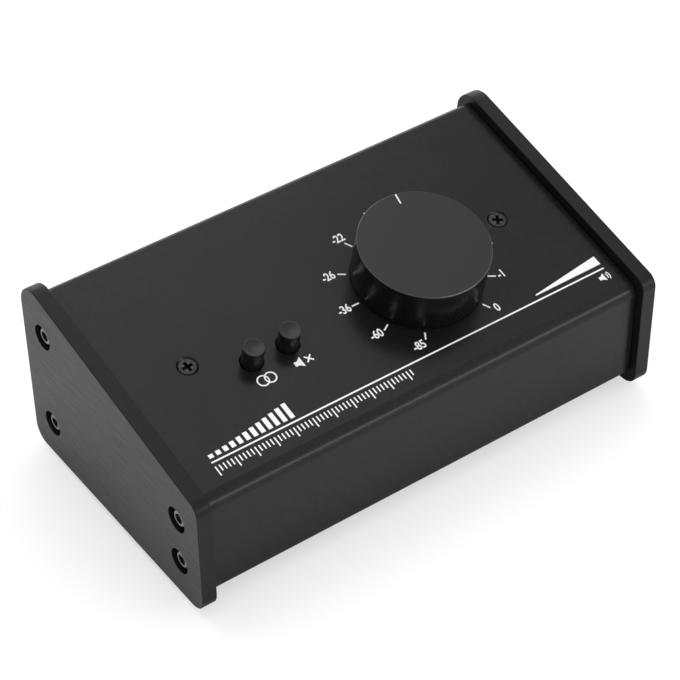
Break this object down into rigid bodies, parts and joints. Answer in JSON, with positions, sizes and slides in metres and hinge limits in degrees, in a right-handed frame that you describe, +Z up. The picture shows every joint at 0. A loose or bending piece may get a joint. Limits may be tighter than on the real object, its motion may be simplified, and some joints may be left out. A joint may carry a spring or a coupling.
{
  "type": "studio monitor controller",
  "caption": "Wedge-shaped desktop monitor controller with a sloping panel between end cheeks, a large volume knob, push buttons and rear jack sockets.",
  "frame": {"origin": "on the surface the feet stand on, under the middle of the cheeks", "axes": "+X along the width to the right, -Y towards the user, +Z up"},
  "size_m": [0.163, 0.0908, 0.0684],
  "materials": {
    "shell_black": "satin black anodised or coated sheet",
    "cheek_black": "brushed black anodised plate",
    "knob_black": "satin black anodised, turned",
    "screw_black": "blackened steel",
    "bright_steel": "nickel plated",
    "zinc": "zinc plated",
    "button_black": "smooth black",
    "dark_plastic": "moulded black",
    "white_plastic": "moulded white",
    "circuit_board": "green solder resist",
    "ribbon_grey": "ribbed grey",
    "rubber": "soft black"
  },
  "bodies": {
    "case": {"top_shell": "shell_black", "base_plate": "shell_black", "left_cheek": "cheek_black", "right_cheek": "cheek_black", "panel_screw_left": "screw_black", "panel_screw_right": "screw_black", "board_screw_left": "bright_steel", "board_screw_right": "bright_steel", "board_standoff_left": "bright_steel", "board_standoff_right": "bright_steel", "attenuator_bushing": "bright_steel", "attenuator_washer": "bright_steel", "attenuator_nut": "bright_steel", "attenuator_housing": "zinc", "control_board": "circuit_board", "jack_board": "circuit_board", "control_header": "dark_plastic", "jack_header": "dark_plastic", "ribbon_cable": "ribbon_grey", "mono_switch": "dark_plastic", "mute_switch": "dark_plastic", "foot_front_left": "rubber", "foot_front_right": "rubber", "foot_rear_left": "rubber", "foot_rear_right": "rubber", "cheek_screw_left_front_lower": "screw_black", "cheek_screw_left_front_upper": "screw_black", "cheek_screw_left_rear_lower": "screw_black", "cheek_screw_left_rear_upper": "screw_black", "cheek_screw_right_front_lower": "screw_black", "cheek_screw_right_front_upper": "screw_black", "cheek_screw_right_rear_lower": "screw_black", "cheek_screw_right_rear_upper": "screw_black", "jack_in_left": "dark_plastic", "jack_nut_in_left": "bright_steel", "jack_in_right": "dark_plastic", "jack_nut_in_right": "bright_steel", "jack_out_left": "dark_plastic", "jack_nut_out_left": "bright_steel", "jack_out_right": "dark_plastic", "jack_nut_out_right": "bright_steel"},
    "knob": {"volume_knob": "knob_black", "knob_set_screw": "screw_black", "attenuator_shaft": "bright_steel"},
    "mono_button_assembly": {"mono_button": "button_black", "mono_plunger": "white_plastic"},
    "mute_button_assembly": {"mute_button": "button_black", "mute_plunger": "white_plastic"}
  },
  "joints": [
    {"name": "attenuator_turn", "type": "hinge", "parent": "case", "child": "knob", "pos_m": [0.02112, -0.00729, 0.04956], "axis": [0, 0.2335, -0.9724], "range_deg": [-160, 140]},
    {"name": "mono_press", "type": "slide", "parent": "case", "child": "mono_button_assembly", "axis": [0, 0.2335, -0.9724], "range_m": [0, 0.002], "stiffness_N_per_m": 500, "springref_m": -0.002},
    {"name": "mute_press", "type": "slide", "parent": "case", "child": "mute_button_assembly", "axis": [0, 0.2335, -0.9724], "range_m": [0, 0.002], "stiffness_N_per_m": 500, "springref_m": -0.002}
  ]
}
